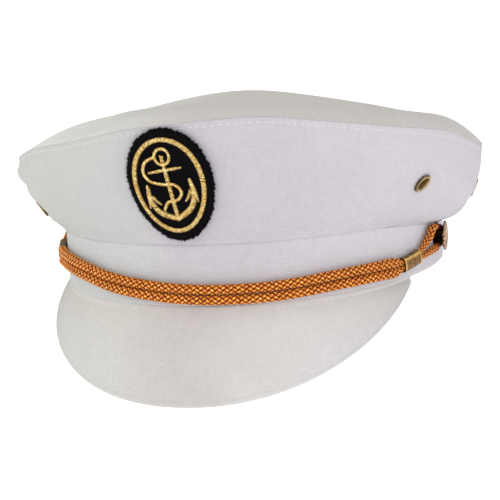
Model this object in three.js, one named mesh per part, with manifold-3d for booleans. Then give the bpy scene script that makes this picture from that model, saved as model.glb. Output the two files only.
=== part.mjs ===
// Captain hat: a white cotton peaked cap with a soft, full top, four brass eyelets, a gold chin cord
// on two brass buttons and an embroidered anchor badge.
//
// Millimetres. Every piece is shaped in the worn frame: the forehead faces -Y, the wearer's left is
// +X, +Z is up, and the head opening is round the origin. The whole hat is then pitched back into the
// pose that it takes on a table, on the peak's front edge and the back of its rim.
import * as THREE from 'three';
import { mergeVertices } from 'three/addons/utils/BufferGeometryUtils.js';
import Module from 'manifold-3d';

const wasm = await Module();
wasm.setup();

// ---- driving dimensions ----

const GAP = 0.3; // between two pieces that meet

// Head band: an upright elliptical wall. Heights are of its top seam.
const BAND = { halfLength: 104, halfWidth: 87, wall: 2.4, frontHeight: 22, sideHeight: 16 };
const RIM_DROP = 1.7; // how far the rim's plane lies below the origin, half way along the hat

// Crown: the side wall flares from the band to the top seam.
const CROWN = { halfLength: 118, halfWidth: 106, wall: 2, sideHeight: 49.7, frontRise: 20.8, backDrop: 9 };
const FRONT_POWER = 1.32; // how quickly the top seam falls from the forehead to the sides

// Top panel: a skin over the seam, a broad tent in its middle and a rounded edge.
const TOP = { middleHeight: 55, tent: 16.2, tentPower: 1.65, edge: 6.6, edgePower: 10 };

// Humps and sags of the top seam: where, how wide and how high.
const SEAM_WAVES = [
  { angle: 20, spread: 11, rise: 1.4 },
  { angle: -26, spread: 14, rise: -1.6 },
  { angle: 67, spread: 13, rise: 2.2 },
  { angle: -58, spread: 14, rise: -1 },
];
const SEAM_TILT = 2.6; // the wearer's left front stands higher than the right front

// Dents (-) and swellings (+) of the side wall, by angle and by level from seam to seam.
const SIDE_DENTS = [
  { angle: -72, spread: 26, level: 0.8, reach: 0.2, depth: 2.4 },
  { angle: 66, spread: 14, level: 0.7, reach: 0.3, depth: -1 },
  { angle: 150, spread: 16, level: 0.5, reach: 0.35, depth: -2 },
  { angle: -140, spread: 14, level: 0.55, reach: 0.35, depth: -1.8 },
];

// Dents (-) and swellings (+) of the top panel, by place.
const TOP_DENTS = [
  { x: 45, y: 10, spread: 32, depth: -2 },
  { x: -16, y: 12, spread: 32, depth: 1.8 },
  { x: -32, y: -101, spread: 7, depth: -2.2 },
  { x: -12, y: -98, spread: 8, depth: 1.4 },
  { x: 30, y: 80, spread: 18, depth: -1.5 },
  { x: 92, y: 20, spread: 15, depth: 3 },
  { x: -84, y: -68, spread: 15, depth: -2.2 },
];

// Peak: a stiff crescent on the front of the rim.
const PEAK = {
  halfSpan: 66, reach: 41, endReach: 2, thickness: 3, slope: 62, endSlope: 48,
  turn: 0.55, roundness: 2.2, crown: 1.2,
};

// Eyelets, by angle and by fraction of the side wall's height.
const EYELET = { radius: 4.5, hole: 2.4, barrel: 3.1, flange: 0.7, clearance: 0.3 };
const EYELETS = [
  { name: 'left_front', angle: 62.3, level: 0.56 },
  { name: 'left_rear', angle: 93, level: 0.6 },
  { name: 'right_front', angle: -64, level: 0.43 },
  { name: 'right_rear', angle: -96, level: 0.5 },
];

// Chin cord: one endless braid that lies doubled on the band and loops round both button shanks.
const CORD = { radius: 2, lift: 2.35, sides: 7, steps: 104 };
const SLIDER = { length: 13, wall: 0.45, cordRadius: 1.1, cordLift: 2.3, cordSplit: 1.25 };
const SLIDERS = [
  { name: 'slider_right', angle: -64.5 },
  { name: 'slider_left', angle: 64.5 },
];
const BUTTON = { radius: 6.7, shank: 2.3, edge: 0.9, dome: 0.9, lift: 3.2, tilt: 5 };
const BUTTONS = [
  { name: 'button_right', angle: -84, height: 10.7 },
  { name: 'button_left', angle: 84, height: 10.9 },
];

// Middle of the doubled cord along the band, from the wearer's right slider to the left one.
const CORD_ROUTE = [
  { angle: -52, height: 10.4 },
  { angle: -46, height: 10 },
  { angle: -39, height: 9.2 },
  { angle: -32, height: 8 },
  { angle: -25, height: 6.2 },
  { angle: -18, height: 4.9 },
  { angle: -10, height: 3.7 },
  { angle: -2, height: 2.7 },
  { angle: 6, height: 2.2 },
  { angle: 14, height: 2.1 },
  { angle: 22, height: 2.3 },
  { angle: 30, height: 3 },
  { angle: 38, height: 3.9 },
  { angle: 46, height: 4.3 },
  { angle: 53, height: 4.5 },
];
// The same inside each slider: angle from the slider's middle, towards the button.
const SLIDER_ROUTE = [
  { name: 'slider_right', turn: -4.2, height: 10.5 },
  { name: 'slider_right', turn: 0, height: 11.2 },
  { name: 'slider_right', turn: 4.2, height: 12 },
  { name: 'slider_left', turn: -3.8, height: 4.4 },
  { name: 'slider_left', turn: 0, height: 5.2 },
  { name: 'slider_left', turn: 3.8, height: 6.3 },
];
// The cord's loop round a button's shank, from the upper strand to the lower one: millimetres from
// the shank's middle towards the back, height from it, the cord's radius and how far it stands off.
const LOOP_START = [
  { name: 'button_right', along: -16.5, rise: 3.6, radius: 1.85, lift: 2.3 },
  { name: 'button_left', along: -17, rise: 1.8, radius: 1.85, lift: 2.3 },
];
const LOOP_ROUTE = [
  { along: -12.8, rise: 4.9, radius: 1.8, lift: 2.2 },
  { along: -9, rise: 5.1, radius: 1.5, lift: 2 },
  { along: -4.5, rise: 4.6, radius: 1.2, lift: 1.6 },
  { along: 0, rise: 4, radius: 1.2, lift: 1.6 },
  { along: 3, rise: 2.9, radius: 1.2, lift: 1.6 },
  { along: 4.2, rise: 0, radius: 1.2, lift: 1.6 },
  { along: 3, rise: -2.9, radius: 1.2, lift: 1.6 },
  { along: 0, rise: -4, radius: 1.2, lift: 1.6 },
  { along: -4, rise: -4.1, radius: 1.2, lift: 1.6 },
  { along: -8.5, rise: -4.4, radius: 1.6, lift: 2 },
];

// Badge on the middle of the front: a felt oval with an embroidered border, anchor and rope.
const BADGE = {
  angle: -0.5, level: 0.515, tilt: 6, halfWidth: 17.2, halfHeight: 23.7, felt: 2.2,
  borderHalfWidth: 13.4, borderHalfHeight: 19.2, borderWidth: 2, relief: 0.9,
};
const ANCHOR = {
  thread: 1.7, arm: 2.4, ring: { x: 0.3, y: 12.2, halfWidth: 2.8, halfHeight: 3.3 },
  shank: { top: 12.6, bottom: -13.8 }, stock: { halfLength: 6.4, y: 6.6 },
};
const ANCHOR_ARM = [
  { x: 8.6, y: 0.8 }, { x: 8.9, y: -5.2 }, { x: 6.6, y: -10.4 }, { x: 0.4, y: -14 },
];
const ANCHOR_FLUKE = [
  { x: 8.6, y: 1.6 }, { x: 9.6, y: -4.6 }, { x: 10, y: -8 }, { x: 8.4, y: -6.2 }, { x: 5.2, y: -7.2 }, { x: 7.7, y: -4 },
];
const ANCHOR_ROPE = [
  { x: -2.9, y: 12.6 }, { x: -6.6, y: 11.2 }, { x: -8.5, y: 7.6 }, { x: -7.2, y: 3.4 }, { x: -2.4, y: 1 },
  { x: 2.4, y: 0 }, { x: 4.3, y: -3.5 }, { x: 2, y: -6.3 }, { x: -2, y: -6.8 }, { x: -4.4, y: -9.6 },
];

const SECTORS = 72; // facets round the crown and the band

const MATERIALS = {
  cotton: { color: '#e9e7e8', roughness: 0.9, metalness: 0 },
  felt: { color: '#141214', roughness: 1, metalness: 0 },
  goldThread: { color: '#c9a352', roughness: 0.5, metalness: 0.4 },
  cord: { color: '#cf7d22', roughness: 0.6, metalness: 0 },
  brass: { color: '#b0853f', roughness: 0.35, metalness: 1 },
};

// ---- geometry helpers ----

const radians = THREE.MathUtils.degToRad;
const smooth = (x) => THREE.MathUtils.smoothstep(x, 0, 1);
const bump = (x, middle, spread) => Math.exp(-(((x - middle) / spread) ** 2));

function geometryOf(points, faces) {
  const geometry = new THREE.BufferGeometry();
  geometry.setAttribute('position', new THREE.Float32BufferAttribute(points.flatMap((p) => p.toArray()), 3));
  geometry.setIndex(faces.flat());
  return geometry;
}

function signedVolume(points, faces) {
  return faces.reduce((sum, [a, b, c]) => sum + points[a].dot(points[b].clone().cross(points[c])) / 6, 0);
}

// A closed solid between an outer and an inner surface, each a function of (u, v) from 0 to 1. It
// wraps round in u, or has an end wall at u = 0 and u = 1. With pole, v = 1 is a single point.
function shellSolid(outer, inner, across, up, { wraps = false, pole = false } = {}) {
  const points = [];
  const faces = [];
  const add = (point) => points.push(point) - 1;
  const columns = wraps ? across : across + 1;
  const sheet = (surface) => Array.from({ length: up + 1 }, (_, j) => {
    if (pole && j === up) return Array(columns).fill(add(surface(0, 1)));
    return Array.from({ length: columns }, (_unused, i) => add(surface(i / across, j / up)));
  });
  const quad = (a, b, c, d) => {
    for (const face of [[a, b, c], [a, c, d]]) {
      if (new Set(face).size === 3) faces.push(face);
    }
  };
  const next = (i) => (i + 1) % columns;
  const outside = sheet(outer);
  const inside = sheet(inner);
  for (let i = 0; i < across; i += 1) {
    for (let j = 0; j < up; j += 1) {
      quad(outside[j][i], outside[j][next(i)], outside[j + 1][next(i)], outside[j + 1][i]);
      quad(inside[j][i], inside[j + 1][i], inside[j + 1][next(i)], inside[j][next(i)]);
    }
    quad(outside[0][i], inside[0][i], inside[0][next(i)], outside[0][next(i)]);
    if (!pole) quad(outside[up][i], outside[up][next(i)], inside[up][next(i)], inside[up][i]);
  }
  for (let j = 0; !wraps && j < up; j += 1) {
    quad(outside[j][0], outside[j + 1][0], inside[j + 1][0], inside[j][0]);
    quad(outside[j][across], inside[j][across], inside[j + 1][across], outside[j + 1][across]);
  }
  if (signedVolume(points, faces) < 0) faces.forEach((face) => face.reverse());
  return geometryOf(points, faces);
}

function toSolid(geometry) {
  const bare = geometry.clone();
  bare.deleteAttribute('normal');
  bare.deleteAttribute('uv');
  const merged = mergeVertices(bare, 1e-4);
  return new wasm.Manifold(new wasm.Mesh({
    numProp: 3,
    vertProperties: new Float32Array(merged.attributes.position.array),
    triVerts: new Uint32Array(merged.index.array),
  }));
}

function fromSolid(solid) {
  const mesh = solid.getMesh();
  const geometry = new THREE.BufferGeometry();
  geometry.setAttribute('position', new THREE.BufferAttribute(mesh.vertProperties, 3));
  geometry.setIndex(new THREE.BufferAttribute(mesh.triVerts, 1));
  return geometry;
}

function meshOf(name, geometry, material) {
  geometry.computeVertexNormals();
  const mesh = new THREE.Mesh(geometry, new THREE.MeshStandardMaterial(MATERIALS[material]));
  mesh.name = name;
  return mesh;
}

// ---- the hat's surfaces, by angle from the front in degrees ----

// A point on an ellipse that stands off the band's outer face by lift, level with the origin.
function bandPoint(angle, lift = 0) {
  const t = radians(angle);
  const point = new THREE.Vector3(BAND.halfWidth * Math.sin(t), -BAND.halfLength * Math.cos(t), 0);
  return point.addScaledVector(outward(angle), lift);
}

function outward(angle) {
  const t = radians(angle);
  return new THREE.Vector3(Math.sin(t) / BAND.halfWidth, -Math.cos(t) / BAND.halfLength, 0).normalize();
}

function rimHeight(y) {
  return RIM_DROP * (y / BAND.halfLength - 1);
}

function bandSeamHeight(angle) {
  const forward = smooth((100 - Math.abs(angle)) / 55);
  return BAND.sideHeight + (BAND.frontHeight - BAND.sideHeight) * forward;
}

function topSeamHeight(angle) {
  const t = radians(angle);
  const forward = Math.cos(t);
  const sideways = Math.sin(t);
  const ends = forward > 0 ? CROWN.frontRise * forward ** FRONT_POWER : -CROWN.backDrop * forward ** 2;
  const tilt = SEAM_TILT * 2 * sideways * Math.max(forward, 0);
  const waves = SEAM_WAVES.reduce((sum, wave) => sum + wave.rise * bump(angle, wave.angle, wave.spread), 0);
  return CROWN.sideHeight + ends + tilt + waves;
}

// The crown's side wall: nearly straight at the stiff front, and a quarter of an oval at the soft
// sides and back, where it swells out over the band.
function crownSide(angle, level, lift = 0) {
  const t = radians(angle);
  const softness = smooth((Math.abs(angle) - 35) / 50);
  const quarter = level * Math.PI / 2;
  const flare = THREE.MathUtils.lerp(level + 0.2 * level * (1 - level), Math.sin(quarter), softness);
  const rise = THREE.MathUtils.lerp(level, 1 - Math.cos(quarter), softness);
  const dents = SIDE_DENTS.reduce((sum, dent) => sum
    + dent.depth * bump(angle, dent.angle, dent.spread) * bump(level, dent.level, dent.reach), 0);
  const point = new THREE.Vector3(
    THREE.MathUtils.lerp(BAND.halfWidth, CROWN.halfWidth, flare) * Math.sin(t),
    -THREE.MathUtils.lerp(BAND.halfLength, CROWN.halfLength, flare) * Math.cos(t),
    THREE.MathUtils.lerp(bandSeamHeight(angle) + GAP, topSeamHeight(angle), rise),
  );
  return point.addScaledVector(outward(angle), dents + lift);
}

// The top panel. Level runs from its middle, 0, to its seam, 1.
function crownTop(angle, level, inset = 0) {
  const seam = crownSide(angle, 1, -inset);
  const point = new THREE.Vector3(seam.x * level, seam.y * level, 0);
  const skin = THREE.MathUtils.lerp(TOP.middleHeight - inset, seam.z + GAP, level ** 2);
  const tent = TOP.tent * (1 - level ** TOP.tentPower) + TOP.edge * (1 - level ** TOP.edgePower);
  const dents = TOP_DENTS.reduce((sum, dent) => sum
    + dent.depth * bump(point.x, dent.x, dent.spread) * bump(point.y, dent.y, dent.spread), 0);
  return point.setZ(skin + tent + dents * (1 - level ** 12));
}

// The peak's upper face: across runs from -1 to 1 between its ends, and reach from the rim to the edge.
function peakTop(across, reach, inset = 0) {
  const angle = PEAK.halfSpan * across;
  const start = bandPoint(angle);
  start.z = rimHeight(start.y) - GAP;
  const swing = radians(PEAK.turn * angle);
  const forward = new THREE.Vector3(Math.sin(swing), -Math.cos(swing), 0);
  const slope = radians(THREE.MathUtils.lerp(PEAK.slope, PEAK.endSlope, across ** 2));
  const width = PEAK.endReach + (PEAK.reach - PEAK.endReach) * (1 - Math.abs(across) ** PEAK.roundness);
  const bow = 4 * PEAK.crown * reach * (1 - reach) * (1 - across ** 2);
  return start
    .addScaledVector(forward, Math.cos(slope) * width * reach + bow - inset / Math.sin(slope))
    .setZ(start.z - Math.sin(slope) * width * reach);
}

// ---- cloth pieces ----

const angleOf = (u) => 360 * u - 180;

function makeBand() {
  const wall = (lift) => (u, v) => {
    const point = bandPoint(angleOf(u), lift);
    const foot = rimHeight(point.y);
    return point.setZ(THREE.MathUtils.lerp(foot, bandSeamHeight(angleOf(u)), v));
  };
  return meshOf('band', shellSolid(wall(0), wall(-BAND.wall), SECTORS, 2, { wraps: true }), 'cotton');
}

function makeCrownSide() {
  const wall = (lift) => (u, v) => crownSide(angleOf(u), v, lift);
  const shell = shellSolid(wall(0), wall(-CROWN.wall), SECTORS, 7, { wraps: true });
  const radius = EYELET.barrel + EYELET.clearance;
  const pierced = EYELETS.reduce((solid, eyelet) => {
    const drill = new THREE.CylinderGeometry(radius, radius, 6 * CROWN.wall, 16);
    drill.rotateX(Math.PI / 2);
    drill.applyMatrix4(seatOnCrown(eyelet));
    return solid.subtract(toSolid(drill));
  }, toSolid(shell));
  return meshOf('crown_side', fromSolid(pierced), 'cotton');
}

function makeCrownTop() {
  const panel = (inset) => (u, v) => crownTop(angleOf(u), Math.cos(v * Math.PI / 2), inset);
  return meshOf('crown_top', shellSolid(panel(0), panel(CROWN.wall), SECTORS, 7, { wraps: true, pole: true }), 'cotton');
}

function makePeak() {
  const face = (inset) => (u, v) => peakTop(2 * u - 1, v, inset);
  return meshOf('peak', shellSolid(face(0), face(PEAK.thickness), 36, 6), 'cotton');
}

// ---- metal fittings ----

// Stands an object's +Z out of a surface point.
function seat(point, out, up) {
  const right = new THREE.Vector3().crossVectors(up, out).normalize();
  const rise = new THREE.Vector3().crossVectors(out, right);
  return new THREE.Matrix4().makeBasis(right, rise, out).setPosition(point);
}

function seatOnCrown({ angle, level }) {
  const step = 0.02;
  const along = crownSide(angle + 1, level).sub(crownSide(angle - 1, level));
  const up = crownSide(angle, level + step).sub(crownSide(angle, level - step)).normalize();
  return seat(crownSide(angle, level), along.cross(up).normalize(), up);
}

function makeEyelet(eyelet) {
  const { radius, hole, barrel, flange, clearance } = EYELET;
  const front = clearance;
  const back = -CROWN.wall - clearance - 0.2;
  const profile = [
    [hole, back - flange], [radius - 0.6, back - flange], [radius, back], [barrel, back],
    [barrel, front], [radius, front], [radius - 0.6, front + flange], [hole + 0.7, front + flange], [hole, front],
  ];
  profile.push(profile[0]);
  const ring = new THREE.LatheGeometry(profile.map(([x, y]) => new THREE.Vector2(x, y)), 12);
  ring.rotateX(Math.PI / 2);
  ring.applyMatrix4(seatOnCrown(eyelet));
  return meshOf(`eyelet_${eyelet.name}`, ring, 'brass');
}

function makeButton({ name, angle, height }) {
  const { radius, shank, edge, dome, lift, tilt } = BUTTON;
  const profile = [
    [0, 0], [shank, 0], [shank, lift], [radius - 0.5, lift], [radius, lift + 0.3], [radius, lift + edge - 0.3],
    [radius - 0.6, lift + edge], [radius * 0.7, lift + edge + 0.6 * dome], [radius * 0.4, lift + edge + 0.92 * dome],
    [0, lift + edge + dome],
  ];
  const body = new THREE.LatheGeometry(profile.map(([x, y]) => new THREE.Vector2(x, y)), 16);
  body.rotateX(Math.PI / 2);
  body.rotateY(radians(Math.sign(angle) * tilt));
  const foot = bandPoint(angle, GAP + shank * Math.sin(radians(tilt))).setZ(height);
  body.applyMatrix4(seat(foot, outward(angle), new THREE.Vector3(0, 0, 1)));
  return meshOf(name, body, 'brass');
}

// ---- chin cord ----

function sliderAngle(name, turn) {
  const slider = SLIDERS.find((entry) => entry.name === name);
  return slider.angle + Math.sign(slider.angle) * turn;
}

// The doubled stretch as rows of angle, height, split, lift and radius, from left to right.
function doubledStretch() {
  const open = CORD_ROUTE.map((row) => (
    { ...row, split: CORD.radius + GAP / 2, lift: CORD.lift, radius: CORD.radius }));
  const pressed = SLIDER_ROUTE.map(({ name, turn, height }) => ({
    angle: sliderAngle(name, turn), height, split: SLIDER.cordSplit, lift: SLIDER.cordLift, radius: SLIDER.cordRadius,
  }));
  return [...open, ...pressed].sort((a, b) => a.angle - b.angle);
}

// The whole endless route: along the upper strand, round the right button, back along the lower
// strand and round the left button.
function cordRoute() {
  const stretch = doubledStretch();
  const strand = (side) => stretch.map((row) => ({ ...row, height: row.height + side * row.split }));
  const loop = ({ name, angle, height }) => {
    const perDegree = bandPoint(angle + 1).distanceTo(bandPoint(angle));
    const start = LOOP_START.filter((row) => row.name === name);
    return [...start, ...LOOP_ROUTE].map((row) => (
      { ...row, angle: angle + Math.sign(angle) * row.along / perDegree, height: height + row.rise }));
  };
  return [...strand(1), ...loop(BUTTONS[1]), ...strand(-1).reverse(), ...loop(BUTTONS[0]).reverse()];
}

function makeCord() {
  const route = cordRoute();
  const path = new THREE.CatmullRomCurve3(
    route.map(({ angle, height, lift }) => bandPoint(angle, lift).setZ(height)), true, 'centripetal');
  const sizes = new THREE.CatmullRomCurve3(
    route.map(({ radius }, i) => new THREE.Vector3(radius, i, 0)), true, 'catmullrom', 0);
  const rings = [];
  for (let i = 0; i < CORD.steps; i += 1) {
    const u = i / CORD.steps;
    const middle = path.getPoint(u);
    const along = path.getTangent(u);
    const out = new THREE.Vector3(middle.x, middle.y, 0).normalize();
    const side = new THREE.Vector3().crossVectors(along, out).normalize();
    const rise = new THREE.Vector3().crossVectors(side, along);
    rings.push({ middle, side, rise, radius: sizes.getPoint(u).x });
  }
  const points = [];
  const faces = [];
  for (const { middle, side, rise, radius } of rings) {
    for (let k = 0; k < CORD.sides; k += 1) {
      const turn = (2 * Math.PI * k) / CORD.sides;
      points.push(middle.clone()
        .addScaledVector(side, radius * Math.cos(turn))
        .addScaledVector(rise, radius * Math.sin(turn)));
    }
  }
  const at = (i, k) => (i % rings.length) * CORD.sides + (k % CORD.sides);
  for (let i = 0; i < rings.length; i += 1) {
    for (let k = 0; k < CORD.sides; k += 1) {
      faces.push([at(i, k), at(i, k + 1), at(i + 1, k + 1)], [at(i, k), at(i + 1, k + 1), at(i + 1, k)]);
    }
  }
  if (signedVolume(points, faces) < 0) faces.forEach((face) => face.reverse());
  return meshOf('chin_cord', geometryOf(points, faces), 'cord');
}

// A flat tube round both strands, bent to the band.
function makeSlider({ name, angle }) {
  const rows = SLIDER_ROUTE.filter((row) => row.name === name)
    .map(({ turn, height }) => ({ angle: sliderAngle(name, turn), height }));
  const middle = new THREE.CatmullRomCurve3(
    rows.map((row) => bandPoint(row.angle, SLIDER.cordLift).setZ(row.height)));
  const span = SLIDER.length / middle.getLength();
  const halfHeight = SLIDER.cordSplit + SLIDER.cordRadius + GAP;
  const halfDepth = SLIDER.cordRadius + GAP;
  const out = outward(angle);
  const tube = (grow) => (u, v) => {
    const where = THREE.MathUtils.clamp(0.5 + (v - 0.5) * span, 0, 1);
    const along = middle.getTangent(where);
    const side = new THREE.Vector3().crossVectors(along, out).normalize();
    const turn = 2 * Math.PI * (u + 1 / 24);
    const squared = (x) => Math.sign(x) * Math.abs(x) ** 0.45;
    return middle.getPoint(where)
      .addScaledVector(side, squared(Math.cos(turn)) * (halfHeight + grow))
      .addScaledVector(out, squared(Math.sin(turn)) * (halfDepth + grow));
  };
  return meshOf(name, shellSolid(tube(SLIDER.wall), tube(0), 12, 3, { wraps: true }), 'brass');
}

// ---- badge ----

// A point of the badge: x to the wearer's left and y up its face in millimetres, tilted, and lifted
// off the crown.
function badgePoint(x, y, lift) {
  const tilt = radians(BADGE.tilt);
  const along = x * Math.cos(tilt) - y * Math.sin(tilt);
  const up = x * Math.sin(tilt) + y * Math.cos(tilt);
  const width = crownSide(BADGE.angle + 1, BADGE.level).distanceTo(crownSide(BADGE.angle, BADGE.level));
  const height = crownSide(BADGE.angle, 1).distanceTo(crownSide(BADGE.angle, 0));
  return crownSide(BADGE.angle + along / width, BADGE.level + up / height, lift);
}

function makeBadgeFelt() {
  const face = (lift) => (u, v) => {
    const turn = 2 * Math.PI * u;
    const out = Math.cos(v * Math.PI / 2);
    return badgePoint(BADGE.halfWidth * out * Math.cos(turn), BADGE.halfHeight * out * Math.sin(turn), lift);
  };
  const back = 0.1 + GAP;
  return meshOf('badge_felt', shellSolid(face(back + BADGE.felt), face(back), 28, 3, { wraps: true, pole: true }), 'felt');
}

const embroideryFoot = 0.1 + 2 * GAP + BADGE.felt;

function makeBadgeBorder() {
  const { borderHalfWidth, borderHalfHeight, borderWidth, relief } = BADGE;
  const face = (lift) => (u, v) => {
    const turn = 2 * Math.PI * u;
    const grow = (v - 0.5) * borderWidth;
    const arch = lift > embroideryFoot ? -0.4 * Math.abs(2 * v - 1) : 0;
    return badgePoint((borderHalfWidth + grow) * Math.cos(turn), (borderHalfHeight + grow) * Math.sin(turn), lift + arch);
  };
  const foot = embroideryFoot;
  return meshOf('badge_border', shellSolid(face(foot + relief), face(foot), 32, 2, { wraps: true }), 'goldThread');
}

// A flat bar of thread along a smooth line, as a solid plate from z = 0 to the relief.
function threadBar(rows, width, steps, closed = false) {
  const line = new THREE.CatmullRomCurve3(rows.map(({ x, y }) => new THREE.Vector3(x, y, 0)), closed);
  const edge = (side) => (u) => {
    const along = line.getTangent(u);
    return line.getPoint(u).add(new THREE.Vector3(-along.y, along.x, 0).multiplyScalar(side * width / 2));
  };
  const face = (height) => (u, v) => edge(2 * v - 1)(u).setZ(height);
  return toSolid(shellSolid(face(BADGE.relief), face(0), steps, 1, { wraps: closed }));
}

function plate(rows) {
  const shape = new THREE.Shape(rows.map(({ x, y }) => new THREE.Vector2(x, y)));
  return toSolid(new THREE.ExtrudeGeometry(shape, { depth: BADGE.relief, bevelEnabled: false }));
}

function makeBadgeAnchor() {
  const { thread, arm, ring, shank, stock } = ANCHOR;
  const mirrored = (rows) => rows.map(({ x, y }) => ({ x: -x, y }));
  const circle = Array.from({ length: 12 }, (_, i) => {
    const turn = (2 * Math.PI * i) / 12;
    return { x: ring.x + ring.halfWidth * Math.cos(turn), y: ring.y + ring.halfHeight * Math.sin(turn) };
  });
  const solids = [
    threadBar(circle, 1.4, 16, true),
    threadBar([{ x: 0.2, y: shank.top }, { x: 0.2, y: 0 }, { x: 0.2, y: shank.bottom }], thread, 4),
    threadBar([{ x: -stock.halfLength, y: stock.y }, { x: 0, y: stock.y }, { x: stock.halfLength, y: stock.y }], thread, 4),
    threadBar(ANCHOR_ARM, arm, 8),
    threadBar(mirrored(ANCHOR_ARM), arm, 8),
    plate(ANCHOR_FLUKE),
    plate(mirrored(ANCHOR_FLUKE).reverse()),
    threadBar(ANCHOR_ROPE, 1.3, 24),
  ];
  const flat = fromSolid(solids.reduce((whole, solid) => whole.add(solid)));
  const position = flat.attributes.position;
  for (let i = 0; i < position.count; i += 1) {
    const point = badgePoint(position.getX(i), position.getY(i), embroideryFoot + position.getZ(i));
    position.setXYZ(i, point.x, point.y, point.z);
  }
  return meshOf('badge_anchor', flat, 'goldThread');
}

// ---- resting pose ----

// The pitch at which the peak's front edge and the back of the rim stand on one level surface.
function restPitch() {
  const front = peakTop(0, 1, PEAK.thickness);
  const back = new THREE.Vector3(0, BAND.halfLength, rimHeight(BAND.halfLength));
  return Math.atan2(back.z - front.z, back.y - front.y);
}

const hat = new THREE.Group();
hat.add(
  makeCrownTop(), makeCrownSide(), makeBand(), makePeak(), makeCord(),
  ...SLIDERS.map(makeSlider), ...BUTTONS.map(makeButton), ...EYELETS.map(makeEyelet),
  makeBadgeFelt(), makeBadgeBorder(), makeBadgeAnchor(),
);
hat.rotation.x = -restPitch();
hat.updateMatrixWorld(true);
const box = new THREE.Box3().setFromObject(hat, true);
const middle = box.getCenter(new THREE.Vector3());
hat.position.set(-middle.x, -middle.y, -box.min.z);

export default hat;
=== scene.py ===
"""Captain hat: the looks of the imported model, for Blender 4.5.

Shapes are worked out in millimetres in the worn frame: the forehead faces -Y, the wearer's left
is +X, +Z is up, and the head opening is round the origin. to_row() pitches them back into the pose
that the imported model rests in, in metres.
"""
import math

import bpy
import numpy as np
from mathutils import Matrix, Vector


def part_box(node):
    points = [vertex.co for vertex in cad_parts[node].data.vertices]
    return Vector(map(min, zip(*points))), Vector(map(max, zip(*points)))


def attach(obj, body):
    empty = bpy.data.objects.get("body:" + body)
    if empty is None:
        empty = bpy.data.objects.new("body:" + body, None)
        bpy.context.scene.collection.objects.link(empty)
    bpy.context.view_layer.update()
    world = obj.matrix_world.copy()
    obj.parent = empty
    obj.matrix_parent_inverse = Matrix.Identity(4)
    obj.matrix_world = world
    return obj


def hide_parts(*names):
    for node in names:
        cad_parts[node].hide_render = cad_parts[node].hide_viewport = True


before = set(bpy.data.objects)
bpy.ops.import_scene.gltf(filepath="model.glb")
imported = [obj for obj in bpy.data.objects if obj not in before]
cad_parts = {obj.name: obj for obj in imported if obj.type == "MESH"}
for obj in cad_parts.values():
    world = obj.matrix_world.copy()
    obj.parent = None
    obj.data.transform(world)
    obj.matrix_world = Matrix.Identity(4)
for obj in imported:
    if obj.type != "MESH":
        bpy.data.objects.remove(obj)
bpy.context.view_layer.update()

# ---- driving dimensions, in millimetres and degrees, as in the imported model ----

GAP = 0.3
BAND = {"half_length": 104, "half_width": 87, "wall": 2.4, "front_height": 22, "side_height": 16,
        "low_from": 100, "low_fade": 55}
RIM_DROP = 1.7
CROWN = {"half_length": 118, "half_width": 106, "wall": 2, "side_height": 49.7,
         "front_rise": 20.8, "back_drop": 9, "front_power": 1.32, "soft_from": 35, "soft_fade": 50,
         "stiff_belly": 0.2}
TOP = {"middle": 55, "tent": 16.2, "tent_power": 1.65, "edge": 6.6, "edge_power": 10,
       "dent_power": 12}
SEAM_WAVES = [  # angle, spread, rise
    (20, 11, 1.4),
    (-26, 14, -1.6),
    (67, 13, 2.2),
    (-58, 14, -1),
]
SEAM_TILT = 2.6
SIDE_DENTS = [  # angle, spread, level, reach, depth
    (-72, 26, 0.8, 0.2, 2.4),
    (66, 14, 0.7, 0.3, -1),
    (150, 16, 0.5, 0.35, -2),
    (-140, 14, 0.55, 0.35, -1.8),
]
TOP_DENTS = [  # x, y, spread, depth
    (45, 10, 32, -2),
    (-16, 12, 32, 1.8),
    (-32, -101, 7, -2.2),
    (-12, -98, 8, 1.4),
    (30, 80, 18, -1.5),
    (92, 20, 15, 3),
    (-84, -68, 15, -2.2),
]
PEAK = {"half_span": 66, "reach": 41, "end_reach": 2, "thickness": 3, "slope": 62,
        "end_slope": 48, "turn": 0.55, "roundness": 2.2, "crown": 1.2}
EYELET = {"radius": 4.5, "hole": 2.4, "barrel": 3.1, "flange": 0.7, "clearance": 0.3}
EYELETS = [  # name, angle, level, how the cloth leans there: outward per mm sideways and upward
    ("eyelet_left_front", 62.3, 0.56, -0.11, 0.32),
    ("eyelet_left_rear", 93, 0.6, 0, 0),
    ("eyelet_right_front", -64, 0.43, 0, 0),
    ("eyelet_right_rear", -96, 0.5, 0, 0),
]
PUCKER = {"reach": 8, "depth": 0.45, "seat": 0.8}  # round each eyelet; seat is its ring's share
CORD = {"radius": 2, "lift": 2.35}
SLIDER = {"length": 13, "wall": 0.45, "cord_radius": 1.1, "cord_lift": 2.3, "cord_split": 1.25,
          "lip": 0.22, "lip_width": 0.4, "squareness": 0.6}
SLIDERS = {  # angle of its middle, then rows of angle from there towards the button and height
    "slider_right": (-64.5, [(-4.2, 10.5), (0, 11.2), (4.2, 12)]),
    "slider_left": (64.5, [(-3.8, 4.4), (0, 5.2), (3.8, 6.3)]),
}
BUTTON = {"radius": 6.7, "shank": 2.3, "edge": 0.9, "dome": 0.9, "lift": 3.2, "tilt": 5}
BUTTONS = [  # name, angle, height
    ("button_right", -84, 10.7),
    ("button_left", 84, 10.9),
]
CORD_ROUTE = [  # angle, height of the doubled cord's middle
    (-57, 10.5), (-52, 10.4), (-46, 10), (-39, 9.2), (-32, 8), (-25, 6.2), (-18, 4.9), (-10, 3.7),
    (-2, 2.7), (6, 2.2), (14, 2.1), (22, 2.3), (30, 3), (38, 3.9), (46, 4.3), (53, 4.4), (58, 4.3),
]
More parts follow.
